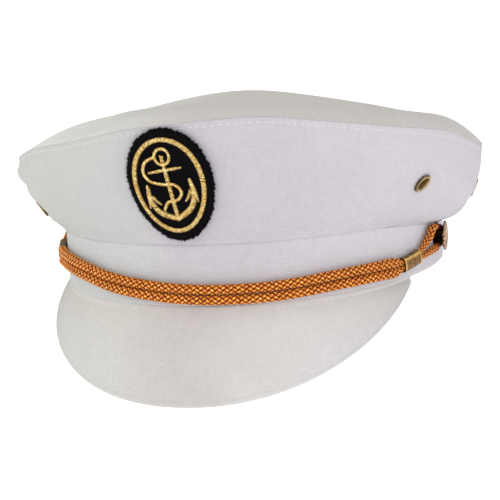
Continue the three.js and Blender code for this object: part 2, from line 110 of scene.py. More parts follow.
# The loops: along the band from the shank, height from it, the cord's radius and stand-off.
LOOP_START = {"button_right": (-16.5, 3.6, 1.85, 2.3), "button_left": (-17, 1.8, 1.85, 2.3)}
LOOP_ROUTE = [
    (-12.8, 4.9, 1.8, 2.2), (-9, 5.1, 1.5, 2), (-4.5, 4.6, 1.2, 1.6), (0, 4, 1.2, 1.6),
    (3, 2.9, 1.2, 1.6), (4.2, 0, 1.2, 1.6), (3, -2.9, 1.2, 1.6), (0, -4, 1.2, 1.6),
    (-4, -4.1, 1.2, 1.6), (-8.5, -4.4, 1.6, 2),
]
BADGE = {"angle": -0.5, "level": 0.515, "tilt": 6, "half_width": 17.2, "half_height": 23.7,
         "felt": 2.2, "border_half_width": 13.4, "border_half_height": 19.2, "border_width": 2}
RNG = np.random.default_rng(7)
UP = np.array([0, 0, 1.0])


# ---- small maths ----

def smooth(x):
    x = np.clip(x, 0, 1)
    return x * x * (3 - 2 * x)


def bump(x, middle, spread):
    return np.exp(-(((x - middle) / spread) ** 2))


def mix(a, b, share):
    return a + (b - a) * share


def unit(vectors):
    return vectors / np.maximum(np.linalg.norm(vectors, axis=-1, keepdims=True), 1e-9)


def seat_axes(out, up=UP):
    """Right, up and outward directions, as rows, of a thing that faces out."""
    right = unit(np.cross(up, out))
    return np.stack([right, np.cross(out, right), out])


def stack(x, y, z):
    return np.stack(np.broadcast_arrays(x, y, z), axis=-1).astype(float)


def full_turn(count):
    """Even angles round a circle, in radians."""
    return np.arange(count) * 2 * math.pi / count


def oval(count, half_width, half_height, x=0.0, y=0.0):
    return [(x + half_width * math.cos(t), y + half_height * math.sin(t))
            for t in full_turn(count)]


def all_round(count):
    """Even angles round the hat, in degrees, from the middle of its back."""
    return np.linspace(-180, 180, count, endpoint=False)


def read_off(at, run, rows):
    """Rows that are known at the places in run, interpolated at others."""
    return np.stack([np.interp(at, run, column) for column in rows.T], -1)


# ---- the hat's surfaces ----

def outward(angle):
    t = np.radians(angle)
    return unit(stack(np.sin(t) / BAND["half_width"], -np.cos(t) / BAND["half_length"], 0))


def band_point(angle, lift=0.0, height=0.0):
    """A point that stands off the band's outer face, at a height."""
    t = np.radians(angle)
    foot = stack(BAND["half_width"] * np.sin(t), -BAND["half_length"] * np.cos(t), height)
    return foot + outward(angle) * np.asarray(lift)[..., None]


def rim_height(y):
    return RIM_DROP * (y / BAND["half_length"] - 1)


def band_seam_height(angle):
    forward = smooth((BAND["low_from"] - np.abs(angle)) / BAND["low_fade"])
    return mix(BAND["side_height"], BAND["front_height"], forward)


def top_seam_height(angle):
    t = np.radians(angle)
    forward, sideways = np.cos(t), np.sin(t)
    rise = CROWN["front_rise"] * np.maximum(forward, 0) ** CROWN["front_power"]
    drop = CROWN["back_drop"] * np.minimum(forward, 0) ** 2
    waves = sum(height * bump(angle, at, spread) for at, spread, height in SEAM_WAVES)
    tilt = 2 * SEAM_TILT * sideways * np.maximum(forward, 0)
    return CROWN["side_height"] + rise - drop + tilt + waves


def crown_side(angle, level, lift=0.0):
    """The side wall, by angle and by level from the band's seam, 0, to the top seam, 1."""
    t = np.radians(angle)
    level = np.asarray(level, float)
    softness = smooth((np.abs(angle) - CROWN["soft_from"]) / CROWN["soft_fade"])
    quarter = level * math.pi / 2
    stiff = level + CROWN["stiff_belly"] * level * (1 - level)
    flare = mix(stiff, np.sin(quarter), softness)
    rise = mix(level, 1 - np.cos(quarter), softness)
    dents = sum(depth * bump(angle, at, spread) * bump(level, height, reach)
                for at, spread, height, reach, depth in SIDE_DENTS)
    foot = stack(mix(BAND["half_width"], CROWN["half_width"], flare) * np.sin(t),
                 -mix(BAND["half_length"], CROWN["half_length"], flare) * np.cos(t),
                 mix(band_seam_height(angle) + GAP, top_seam_height(angle), rise))
    return foot + outward(angle) * np.asarray(dents + lift)[..., None]


def crown_top(angle, level, inset=0.0):
    """The top panel, by angle and by level from its middle, 0, to its seam, 1."""
    level = np.asarray(level, float)
    seam = crown_side(angle, 1.0, -inset)
    x, y = seam[..., 0] * level, seam[..., 1] * level
    skin = mix(TOP["middle"] - inset, seam[..., 2] + GAP, level ** 2)
    tent = (TOP["tent"] * (1 - level ** TOP["tent_power"])
            + TOP["edge"] * (1 - level ** TOP["edge_power"]))
    dents = sum(depth * bump(x, at_x, spread) * bump(y, at_y, spread)
                for at_x, at_y, spread, depth in TOP_DENTS)
    return stack(x, y, skin + tent + dents * (1 - level ** TOP["dent_power"]))


def peak_top(across, reach, inset=0.0):
    """The peak's upper face: across from -1 to 1 between its ends, reach from rim to edge."""
    angle = PEAK["half_span"] * np.asarray(across, float)
    start = band_point(angle)
    height = rim_height(start[..., 1]) - GAP
    swing = np.radians(PEAK["turn"] * angle)
    slope = np.radians(mix(PEAK["slope"], PEAK["end_slope"], across ** 2))
    width = mix(PEAK["end_reach"], PEAK["reach"], 1 - np.abs(across) ** PEAK["roundness"])
    bow = 4 * PEAK["crown"] * reach * (1 - reach) * (1 - across ** 2)
    forward = np.cos(slope) * width * reach + bow - inset / np.sin(slope)
    return stack(start[..., 0] + forward * np.sin(swing), start[..., 1] - forward * np.cos(swing),
                 height - np.sin(slope) * width * reach)


def rest_pitch():
    front = peak_top(0.0, 1.0, PEAK["thickness"])
    return math.atan2(-front[2], BAND["half_length"] - front[1])


PITCH = Matrix.Rotation(-rest_pitch(), 3, "X")
METRES = 0.001  # to a millimetre


def row_shift():
    """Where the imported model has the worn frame's origin, from the band's box, in metres."""
    angle = all_round(360)
    x, y, _ = band_point(angle).T
    ring = np.concatenate([stack(x, y, rim_height(y)), stack(x, y, band_seam_height(angle))])
    turned = ring @ np.array(PITCH).T * METRES
    low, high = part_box("band")
    return (np.array(low) + np.array(high) - turned.min(0) - turned.max(0)) / 2


SHIFT = row_shift()


def to_row(points):
    return np.asarray(points) @ np.array(PITCH).T * METRES + SHIFT


# ---- mesh building ----

class Shape:
    """Points and faces in the worn frame, gathered for one mesh."""

    def __init__(self):
        self.points, self.faces, self.uvs, self.shades, self.count = [], [], [], [], 0

    def add(self, points, *patches, shade=None):
        """A closed shape. Each patch is its faces and their corners' UVs; shade is by point."""
        points = np.asarray(points, float).reshape(-1, 3)
        step = 1 if sum(signed_volume(points, faces) for faces, _ in patches) >= 0 else -1
        for faces, uvs in patches:
            self.faces.extend((faces[:, ::step] + self.count).tolist())
            self.uvs.append(uvs[:, ::step].reshape(-1, 2))
        self.points.append(points)
        self.shades.append(np.ones(len(points)) if shade is None else np.ravel(shade))
        self.count += len(points)

    def mesh(self, name):
        data = bpy.data.meshes.new(name)
        data.from_pydata(to_row(np.concatenate(self.points)).tolist(), [], self.faces)
        layer = data.uv_layers.new(name="cut")
        layer.data.foreach_set("uv", np.concatenate(self.uvs).ravel())
        tone = data.attributes.new("tone", "FLOAT", "POINT")
        tone.data.foreach_set("value", np.concatenate(self.shades))
        data.shade_smooth()
        data.update()
        return data


def signed_volume(points, faces):
    volume = 0
    for k in range(1, faces.shape[1] - 1):
        a, b, c = points[faces[:, 0]], points[faces[:, k]], points[faces[:, k + 1]]
        volume += (a * np.cross(b, c)).sum()
    return volume


def add_grid(shape, points, loop=False, uv_step=(1.0, 1.0), planar=None, shade=None, caps=False,
             holes=()):
    """Adds a grid of points, (rows, columns, 3), with closed rows. loop closes the columns too.

    uv_step is the cloth's millimetres from column to column and row to row, and planar gives the
    cut's own coordinates instead. caps closes the first and last row with a fan. holes are rows of
    place, axis and radius, and a face whose middle is in one is left out.
    """
    rows, columns, _ = points.shape
    i, j = (k.reshape(-1, 1) for k in np.mgrid[:rows if loop else rows - 1, :columns])
    r, c = i + [0, 0, 1, 1], j + [0, 1, 1, 0]
    quads = (r % rows) * columns + c % columns
    if planar is None:
        uvs = np.stack([c * uv_step[0], r * uv_step[1]], -1)
    else:
        uvs = planar.reshape(-1, 2)[quads]
    flat = points.reshape(-1, 3)
    for place, axis, radius in holes:
        away = flat[quads].mean(1) - place
        aside = np.linalg.norm(away - (away @ axis)[:, None] * axis, axis=1)
        kept = (aside > radius) | (np.linalg.norm(away, axis=1) > 3 * radius)
        quads, uvs = quads[kept], uvs[kept]
    if not caps:
        shape.add(flat, (quads, uvs), shade=shade)
        return
    total = len(flat)
    last = total - columns
    k = np.arange(columns)
    ahead = (k + 1) % columns
    fans = np.concatenate([np.stack([np.full(columns, total), ahead, k], -1),
                           np.stack([np.full(columns, total + 1), last + k, last + ahead], -1)])

    def with_hubs(rows):
        return np.concatenate([rows, [rows[:columns].mean(0), rows[last:].mean(0)]])

    cut = with_hubs(np.zeros((total, 2)) if planar is None else planar.reshape(-1, 2))
    tones = None if shade is None else with_hubs(np.ravel(shade))
    shape.add(with_hubs(flat), (quads, uvs), (fans, cut[fans]), shade=tones)


def square(x, power):
    """A sine or cosine, raised to a power so that 0.5 or so makes an oval squarer."""
    return np.sign(x) * np.abs(x) ** power


def tube_rows(centres, wide, high, half_width, half_height, sides, squareness=1):
    """Rows of an oval tube; wide and high are unit directions at each centre."""
    turn = full_turn(sides)
    w = np.broadcast_to(half_width, len(centres))[:, None, None]
    h = np.broadcast_to(half_height, len(centres))[:, None, None]
    return (centres[:, None] + wide[:, None] * square(np.cos(turn), squareness)[:, None] * w
            + high[:, None] * square(np.sin(turn), squareness)[:, None] * h)


def add_object(name, data):
    made = bpy.data.objects.new(name, data)
    bpy.context.scene.collection.objects.link(made)
    return made


def grid_piece(name, material, slot, node, points, **grid):
    """A piece that is one grid, in place of one CAD node."""
    shape = Shape()
    add_grid(shape, points, **grid)
    piece(name, shape, material, slot, node)


def piece(name, shape, material, slot, *nodes):
    """Makes the object, on the hat's one body, in place of the CAD nodes that it stands for."""
    made = add_object(name, shape.mesh(name))
    made.data.materials.append(material)
    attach(made, "root")
    if nodes:
        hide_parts(*nodes)


def run_length(line):
    """How far along the line each of its points is."""
    return np.concatenate([[0], np.cumsum(np.linalg.norm(np.diff(line, axis=0), axis=1))])


def spline(rows, samples, closed=False):
    """A centripetal Catmull-Rom curve through rows of points, evenly sampled along its length."""
    p = np.asarray(rows, float)
    if closed:
        p = np.concatenate([p[-1:], p, p[:2]])
    else:
        p = np.concatenate([2 * p[:1] - p[1:2], p, 2 * p[-1:] - p[-2:-1]])
    fine = []
    for a, b, c, d in zip(p, p[1:], p[2:], p[3:]):
        t0, t1, t2 = (max(np.linalg.norm(v[:3]), 1e-4) ** 0.5 for v in (b - a, c - b, d - c))
        m1 = ((b - a) / t0 - (c - a) / (t0 + t1) + (c - b) / t1) * t1
        m2 = ((c - b) / t1 - (d - b) / (t1 + t2) + (d - c) / t2) * t1
        t = np.linspace(0, 1, 24, endpoint=False)[:, None]
        fine.append((2 * t**3 - 3 * t**2 + 1) * b + (t**3 - 2 * t**2 + t) * m1
                    + (3 * t**2 - 2 * t**3) * c + (t**3 - t**2) * m2)
    line = np.concatenate(fine + [p[-2:-1]])
    run = run_length(line[:, :3])
    at = np.linspace(0, run[-1], samples, endpoint=not closed)
    return read_off(at, run, line), run[-1]


def directions(line, closed=False):
    if closed:
        return unit(np.roll(line, -1, 0) - np.roll(line, 1, 0))
    return unit(np.gradient(line, axis=0))


# ---- materials ----

class Nodes:
    """A short way to write a material's node tree."""

    def __init__(self, name):
        self.material = bpy.data.materials.new(name)
        self.material.use_nodes = True
        self.tree = self.material.node_tree

    def fill(self, node, inputs):
        """Links or sets a node's inputs. None leaves one as it is."""
        for key, value in inputs.items():
            if isinstance(value, bpy.types.NodeSocket):
                self.tree.links.new(value, node.inputs[key])
            elif value is not None:
                node.inputs[key].default_value = value

    def add(self, kind, inputs, output=0, **settings):
        """Adds a shader node and gives one of its outputs."""
        node = self.tree.nodes.new("ShaderNode" + kind)
        for key, value in settings.items():
            setattr(node, key, value)
        self.fill(node, inputs)
        return node.outputs[output]

    def math(self, operation, a, b=0.0):
        return self.add("Math", {0: a, 1: b}, operation=operation)

    def times(self, a, b):
        return self.math("MULTIPLY", a, b)

    def blend(self, share, a, b, kind="MIX"):
        return self.add("Mix", {0: share, 6: a, 7: b}, 2, data_type="RGBA", blend_type=kind)

    def darken(self, share, color, factor):
        """The colour times the factor, where share is 1."""
        return self.blend(share, color, (factor, factor, factor, 1), "MULTIPLY")

    def ramp(self, value, low, high):
        return self.add("MapRange", {0: value, 1: low, 2: high}, interpolation_type="SMOOTHSTEP")

    def place(self):
        """The place on the hat, in millimetres."""
        inputs = {"Vector": self.add("TexCoord", {}, "Object"), "Scale": (1000,) * 3}
        return self.add("Mapping", inputs)

    def cut(self):
        """The place on the flat cloth or along the yarn, as two sockets."""
        both = self.add("UVMap", {}, uv_map="cut")
        return [self.add("SeparateXYZ", {0: both}, axis) for axis in (0, 1)]

    def tone(self):
        return self.add("Attribute", {}, "Fac", attribute_name="tone")

    def noise(self, where, scale, detail=3.0, roughness=0.55):
        inputs = {"Vector": where, "Scale": scale, "Detail": detail, "Roughness": roughness}
        return self.add("TexNoise", inputs, "Fac")

    def streaks(self, along, across, squeeze, scale, detail):
        """Noise that is drawn out along one direction."""
        where = self.add("CombineXYZ", {0: self.times(along, squeeze), 1: across})
        return self.noise(where, scale, detail)

    def bump(self, height, strength, distance, below=None):
        inputs = {"Height": height, "Strength": strength, "Distance": distance, "Normal": below}
        return self.add("Bump", inputs)

    def surface(self, color, roughness, normal=None, **others):
        """Sets the shader's inputs, where _ in a name stands for a space. Gives the material."""
        named = {name.replace("_", " "): value for name, value in others.items()}
        inputs = {"Base Color": color, "Roughness": roughness, "Normal": normal, **named}
        self.fill(self.tree.nodes["Principled BSDF"], inputs)
        return self.material


def srgb(*color):
    return tuple((v / 255 / 12.92 if v < 11 else ((v / 255 + 0.055) / 1.055) ** 2.4)
                 for v in color) + (1.0,)


def cotton(name, right, middle, left, left_from=60, pitch=1.25, weave_share=0.45):
    """Plain-woven cotton: threads over and under each other, slubs along them, and a tint that
    drifts from the wearer's right, over the middle, to the left. The drift is painted light: the
    light's greenish cast on the wearer's right and its lavender cast on the left."""
    n = Nodes(name)
    u, v = n.cut()
    weave = n.times(*(n.math("SINE", n.times(axis, 2 * math.pi / pitch)) for axis in (u, v)))
    slubs = [n.streaks(a, b, 0.14, 0.75, 2.0) for a, b in ((u, v), (v, u))]
    slub = n.times(n.math("ADD", *slubs), 0.5)
    here = n.place()
    blotch = n.noise(here, 0.25, 4.0, 0.6)
    side = n.add("SeparateXYZ", {0: here})
    # Painted light: the tint drifts with the light's greenish and lavender casts.
    drift = n.math("ADD", side, n.times(n.noise(here, 0.02, 2.0), 90))
    inner = n.blend(n.ramp(drift, -20, 50), right, middle)
    color = n.blend(n.ramp(drift, left_from, left_from + 70), inner, left)
    for pattern, low, high, share, factor in (
            (weave, -1, 1, weave_share, 0.79),
            (slub, 0.36, 0.64, 0.5, 0.92),
            (blotch, 0.3, 0.7, 0.3, 0.9)):
        color = n.darken(n.times(n.ramp(pattern, low, high), share), color, factor)
    woven = n.bump(weave, 0.6, 0.0002)
    uneven = n.bump(n.math("ADD", slub, blotch), 0.5, 0.00025, woven)
    return n.surface(color, 0.92, uneven, Specular_IOR_Level=0.15, Sheen_Weight=0.08,
                     Sheen_Roughness=0.5)


def thread_white():
    n = Nodes("white_thread")
    color = n.blend(n.noise(n.place(), 3.0), srgb(199, 197, 195), srgb(217, 215, 213))
    return n.surface(color, 0.6, Sheen_Weight=0.2)


def felt_black():
    n = Nodes("black_felt")
    fuzz = n.noise(n.place(), 2.6, 6.0, 0.75)
    color = n.blend(n.ramp(fuzz, 0.3, 0.75), srgb(3, 3, 4), srgb(22, 19, 23))
    return n.surface(color, 1.0, n.bump(fuzz, 0.8, 0.0005), Specular_IOR_Level=0.05)


def gold_thread():
    """tone is 1 on top of a thread and less at its ends, where it dips into the felt: painted
    shade. glint scatters painted highlights over the threads.
    """
    n = Nodes("gold_thread")
    here = n.place()
    glint = n.ramp(n.noise(here, 1.3, 3.0, 0.7), 0.42, 0.62)
    lit = n.blend(glint, srgb(206, 158, 60), srgb(255, 240, 176))
    # The dark brown where tone is low is painted shade.
    color = n.blend(n.ramp(n.tone(), 0.15, 0.85), srgb(84, 46, 8), lit)
    return n.surface(color, 0.32, n.bump(n.noise(here, 6.0, 2.0), 0.5, 0.00015), Metallic=0.5)


def cord_yarn():
    """tone is painted light: 1 on top of the braid, a painted highlight, and 0 in its crevices and
    where the buttons shade it, painted shade.
    """
    n = Nodes("cord_yarn")
    across, along = n.cut()
    fibre = n.streaks(along, across, 0.35, 2.6, 3.0)
    tone = n.tone()
    blotch = n.noise(n.place(), 0.35, 2.0)
    body = n.blend(n.ramp(blotch, 0.3, 0.7), srgb(182, 74, 4), srgb(214, 108, 12))
    # Painted highlight on the yarns' tops; the dark red-brown is painted shade in the crevices.
    glint = n.times(n.ramp(fibre, 0.35, 0.65), n.ramp(tone, 0.7, 1.0))
    crown = n.blend(glint, body, srgb(255, 208, 104))
    color = n.blend(n.ramp(tone, 0.05, 0.9), srgb(72, 12, 0), crown)
    return n.surface(color, 0.5, n.bump(fibre, 0.5, 0.0002), Specular_IOR_Level=0.2)


def brass(name, deep, bright, roughness, stained=0.15, spots=0.4, metal=1.0):
    """Aged brass: tone is painted light, 1 for a painted highlight on edges and 0 for painted
    shade in hollows and under things. stained is the share of the colour that stains take, and
    spots is how many there are to a millimetre."""
    n = Nodes(name)
    here = n.place()
    stain = n.ramp(n.noise(here, spots, 2.0), 0.4, 0.6)
    highlight_share = n.math("ADD", n.times(n.tone(), 1 - stained), n.times(stain, stained))
    rough = n.math("SUBTRACT", roughness + 0.12, n.times(highlight_share, 0.16))
    dimples = n.bump(n.noise(here, 1.6), 0.12, 0.0002)
    return n.surface(n.blend(highlight_share, deep, bright), rough, dimples, Metallic=metal)


SIDE_COTTON = cotton("cotton_side", srgb(195, 197, 191), srgb(196, 191, 198), srgb(203, 199, 205))
# The top panel's lighter tint at the wearer's right is a painted highlight.
TOP_COTTON = cotton("cotton_top", srgb(226, 227, 221), srgb(207, 203, 198), srgb(214, 210, 213),
                    left_from=115)
BAND_COTTON = cotton("cotton_band", srgb(200, 204, 200), srgb(198, 194, 199), srgb(208, 204, 210))
PEAK_COTTON = cotton("cotton_peak", srgb(214, 213, 207), srgb(205, 200, 198), srgb(221, 219, 218),
                     left_from=40, pitch=0.9, weave_share=0.25)
WHITE_THREAD = thread_white()
FELT = felt_black()
GOLD = gold_thread()
CORD_YARN = cord_yarn()
SLIDER_BRASS = brass("brass_slider", srgb(78, 44, 8), srgb(240, 196, 120), 0.36)
DULL_BRASS = brass("brass_slider_worn", srgb(104, 76, 50), srgb(206, 172, 120), 0.42)
EYELET_BRASS = brass("brass_eyelet", srgb(78, 54, 12), srgb(255, 232, 176), 0.26, metal=0.85)
# Its deep colour, nearly black, is painted shade on the button's back, shank and groove.
BUTTON_BRASS = brass("brass_button", srgb(34, 20, 12), srgb(222, 182, 144), 0.34, stained=0.5,
                     spots=0.7, metal=0.9)


# ---- camera, light and floor ----

CAMERA = {"azimuth": 17, "elevation": 9, "roll": -3, "distance": 600, "lens": 91.2}
AIM = np.array([0, 0, 45])
AIM_OFFSET = np.array([2.1, 41.7, 0])  # the aim's place in the camera's own axes
LAMP_TARGET = (0, 0, 0.05)
LAMP_SIZE = 1.0
LAMPS = [  # name, place in metres, watts
    ("key", (0.55, -1.2, 0.55), 4.4),
    ("fill", (-1.0, -0.5, 0.8), 2.6),
]
WORLD_STRENGTH = 0.85
FLOOR = {"reach": 4.0, "grey": 0.6, "glow": 0.75}
WHITE = (1, 1, 1, 1)


def stand(name, data, place, axes):
    """Adds an object at a place in metres, with its own axes as rows."""
    made = add_object(name, data)
    made.matrix_world = Matrix.Translation(place) @ Matrix(axes.T.tolist()).to_4x4()
    return made


def add_camera():
    a, e, r = (math.radians(CAMERA[k]) for k in ("azimuth", "elevation", "roll"))
    back = np.array([math.sin(a) * math.cos(e), -math.cos(a) * math.cos(e), math.sin(e)])
    right, up, _ = seat_axes(back)
    c, s = math.cos(r), math.sin(r)
    axes = np.array([c * right + s * up, c * up - s * right, back])
    place = axes.T @ (CAMERA["distance"] * UP + axes @ AIM - AIM_OFFSET)
    data = bpy.data.cameras.new("camera")
    data.lens = CAMERA["lens"]
    data.clip_start = 0.01
    data.clip_end = 50
    axes = axes @ np.array(PITCH).T
    bpy.context.scene.camera = stand("camera", data, to_row(place).tolist(), axes)


def add_studio():
    world = bpy.data.worlds.new("studio")
    world.use_nodes = True
    sky = world.node_tree.nodes["Background"].inputs
    sky["Color"].default_value = WHITE
    sky["Strength"].default_value = WORLD_STRENGTH
    bpy.context.scene.world = world
    bpy.context.scene.view_settings.view_transform = "Standard"
    for name, place, watts in LAMPS:
        data = bpy.data.lights.new(name, "AREA")
        data.shape = "DISK"
        data.size = LAMP_SIZE
        data.energy = watts
        stand(name, data, place, seat_axes(unit(np.subtract(place, LAMP_TARGET))))
    data = bpy.data.meshes.new("floor")
    r = FLOOR["reach"]
    data.from_pydata([(-r, -r, 0), (r, -r, 0), (r, r, 0), (-r, r, 0)], [], [(0, 1, 2, 3)])
    grey = (FLOOR["grey"],) * 3 + (1,)
    paper = Nodes("floor_paper").surface(grey, 0.9, Emission_Color=WHITE,
                                         Emission_Strength=FLOOR["glow"])
    data.materials.append(paper)
    add_object("floor", data)


# ---- cloth ----

def section(out, back, rounding, corner, loop=False):
    """Columns of level and depth over a cloth's outer face, round its edge and back inside, where
    depth goes from 0 to 1. loop rounds the first edge too."""
    turn = np.linspace(0, math.pi, corner + 2)[1:-1]
    swell = rounding * np.sin(turn)
    level = [out, 1 - rounding + swell, back, rounding - swell]
    depth = [0 * out, (1 - np.cos(turn)) / 2, 0 * back + 1, (1 + np.cos(turn)) / 2]
    parts = 4 if loop else 3
    return np.concatenate(level[:parts])[:, None], np.concatenate(depth[:parts])[:, None]


def wall_section(outer, inner, rounding):
    out, back = (np.linspace(rounding, 1 - rounding, rows) for rows in (outer, inner))
    return section(out, back[::-1], rounding, 5, loop=True)


def folds(angle, level, rows):
    """Soft folds, by rows of angle, level, slant in degrees per level, half-length, half-width and
    depth."""
    total = 0.0
    for at, height, slant, length, width, depth in rows:
        ridge = bump(angle - at - slant * (level - height), 0, length)
        climb = (angle - at) * 0.004 * slant / 10
        total = total + depth * ridge * bump(level + climb, height, width)
    return total


def ripple(points, seed, size, depth):
    """Slow unevenness of cloth, as a sum of waves that cross at chance directions."""
    chance = np.random.default_rng(seed)
    total = 0.0
    for _ in range(7):
        direction = unit(chance.normal(size=3))
        wavelength = size * chance.uniform(0.7, 1.6)
        phase = points @ direction * 2 * math.pi / wavelength
        total = total + np.sin(phase + chance.uniform(0, 6.3))
    return total * depth / 2.6


WALL_FOLDS = [  # angle, level, slant, half-length, half-width, depth
    (34, 0.34, 40, 24, 0.1, 0.5),
    (-48, 0.42, -30, 22, 0.12, -1.1),
    (-69, 0.72, 0, 14, 0.05, -1.5),
    (-67, 0.57, 0, 14, 0.07, 0.6),
    (-66, 0.86, -20, 12, 0.07, 0.6),
    (-67, 0.24, 0, 14, 0.07, 0.9),
    (78, 0.66, 30, 16, 0.1, 0.9),
    (84, 0.4, -20, 16, 0.1, -0.9),
    (48, 0.72, 40, 12, 0.1, -0.5),
    (-84, 0.34, 20, 14, 0.1, 0.8),
    (118, 0.66, 30, 14, 0.12, 1.1),
    (136, 0.42, 30, 16, 0.12, -1),
    (160, 0.62, -30, 16, 0.12, 1),
    (-112, 0.6, -30, 18, 0.12, 1.1),
    (-136, 0.4, 30, 16, 0.12, -1),
    (-160, 0.66, 30, 14, 0.12, 0.9),
]
FOOT = {"lap": 0.6, "lap_level": 0.03, "proud": 0.12, "proud_level": 0.05}  # over the band
ALLOWANCE = {"level": 0.05, "proud": 0.12, "fade": 0.02}  # cloth turned in below the top seam
STITCH = {"level": 0.967, "pitch": 2.9, "length": 1.7, "radius": 0.26, "groove": -0.15,
          "groove_width": 0.012}
SEAM_LAP = 0.012  # how far the wall reaches past the top seam, as a share of its height
WALL_ROWS = {"outer": 64, "inner": 16, "rounding": 0.007}
WALL_CLOTH = {"length": 690, "height": 50}  # millimetres of weave round the wall and up it
BAND_ROWS = {"outer": 26, "inner": 8, "rounding": 0.018}
BAND_CLOTH = {"length": 600, "height": 22}
BAND_FOLD = {"level": 0.13, "width": 0.03, "depth": -0.22}
PEAK_HEM = {"reach": 0.93, "width": 0.012, "depth": -0.25}
PEAK_LAP = {"reach": 0.06, "out": 0.1, "up": 2.4 * GAP}  # where the peak tucks in at the rim
PEAK_CLOTH_HALF_WIDTH = 95


def cloth_frame(angle, level):
    """A point of the side wall and its sideways, upward and outward directions."""
    along = unit(crown_side(angle + 1, level) - crown_side(angle - 1, level))
    up = unit(crown_side(angle, level + 0.02) - crown_side(angle, level - 0.02))
    return crown_side(angle, level), along, up, unit(np.cross(along, up))


def pucker(points):
    """How the cloth leans and hollows round the eyelets."""
    total = 0.0
    for _, angle, level, sideways, upward in EYELETS:
        place, along, up, _ = cloth_frame(angle, level)
        local = points - place
        near = np.exp(-((local ** 2).sum(-1) / PUCKER["reach"] ** 2))
        lean = sideways * (local @ along) + upward * (local @ up)
        total = total + near * (lean - PUCKER["depth"])
    return total


def eyelet_seat(angle, level, sideways, upward):
    """Where an eyelet's ring sits on the leaning cloth, and its axes, as rows."""
    place, along, up, out = cloth_frame(angle, level)
    out = unit(out - sideways * along - upward * up)
    return place - PUCKER["seat"] * PUCKER["depth"] * out, seat_axes(out, up)


def wall_relief(angle, level, points):
    """How far the wall's outer face stands off its plain form."""
    seam = ALLOWANCE["proud"] * smooth((level - 1 + ALLOWANCE["level"]) / ALLOWANCE["fade"])
    groove = STITCH["groove"] * bump(level, STITCH["level"], STITCH["groove_width"])
    foot = FOOT["proud"] * (1 - smooth(level / FOOT["proud_level"]))
    calm = 1 - smooth((level - 0.86) / 0.1)
    quiet = 0.35 + 0.65 * smooth((np.abs(angle) - 30) / 40)
    slow = ripple(points, 3, 46, 0.55) * calm * quiet
    fold = folds(angle, level, WALL_FOLDS) * calm
    return seam + groove + foot + fold + slow + pucker(points)


def make_crown_side(across=540):
    angle = all_round(across)
    level, depth = wall_section(**WALL_ROWS)
    level = level * (1 + SEAM_LAP)
    bare = crown_side(angle, level)
    relief = wall_relief(angle[None], level, bare)
    relief = np.where(depth < 0.5, relief, pucker(bare))
    points = crown_side(angle, level, relief - CROWN["wall"] * depth)
    points[..., 2] -= FOOT["lap"] * (1 - smooth(level / FOOT["lap_level"]))
    seats = [eyelet_seat(*row) for _, *row in EYELETS]
    holes = [(place, axes[2], EYELET["barrel"]) for place, axes in seats]
    uv_step = (WALL_CLOTH["length"] / across, WALL_CLOTH["height"] / WALL_ROWS["outer"])
    grid_piece("side_wall", SIDE_COTTON, "cotton", "crown_side", points, loop=True,
               uv_step=uv_step, holes=holes)


TOP_CREASES = [  # x and y of both ends, half-width, depth
    (-44, -92, -22, -62, 3.0, 1.4),
    (-52, -84, -34, -58, 4.0, -1.4),
    (-74, -62, -56, -40, 5.0, -1.3),
    (38, -88, 54, -62, 5.0, 0.6),
    (72, -50, 62, -20, 6.0, -0.7),
    (-70, 30, -40, 60, 8.0, -0.9),
    (20, 60, 50, 84, 7.0, 0.8),
]


def creases(x, y, rows):
    total = 0.0
    for x0, y0, x1, y1, width, depth in rows:
        length = math.hypot(x1 - x0, y1 - y0)
        ux, uy = (x1 - x0) / length, (y1 - y0) / length
        along = (x - x0) * ux + (y - y0) * uy - length / 2
        aside = (y - y0) * ux - (x - x0) * uy
        total = total + depth * bump(aside, 0, width) * bump(along, 0, length / 2)
    return total


def make_crown_top(across=540, rounding=0.003):
    out = (1 - rounding) * np.sin(np.linspace(0.02, math.pi / 2, 64))
    level, depth = section(out, out[::-8], rounding, 5)
    points = crown_top(all_round(across), level, CROWN["wall"] * depth)
    x, y = points[..., 0], points[..., 1]
    calm = 1 - smooth((level - 0.93) / 0.05)
    relief = creases(x, y, TOP_CREASES) + ripple(points, 5, 60, 0.5)
    points[..., 2] += relief * calm * (1 - smooth(depth * 2))
    grid_piece("top_panel", TOP_COTTON, "cotton", "crown_top", points, planar=points[..., :2],
               caps=True)


def make_band(across=480):
    angle = all_round(across)
    level, depth = wall_section(**BAND_ROWS)
    bare = band_point(angle + 0 * level)
    foot = rim_height(bare[..., 1])
    height = mix(foot, band_seam_height(angle)[None] + GAP, level)
    fold = BAND_FOLD["depth"] * bump(level, BAND_FOLD["level"], BAND_FOLD["width"])
    fold = fold + ripple(stack(bare[..., 0], bare[..., 1], height), 11, 30, 0.12)
    lift = fold * (1 - smooth(depth * 2)) - BAND["wall"] * depth
    points = band_point(angle + 0 * level, lift, height)
    uv_step = (BAND_CLOTH["length"] / across, BAND_CLOTH["height"] / BAND_ROWS["outer"])
    grid_piece("hat_band", BAND_COTTON, "cotton", "band", points, loop=True, uv_step=uv_step)


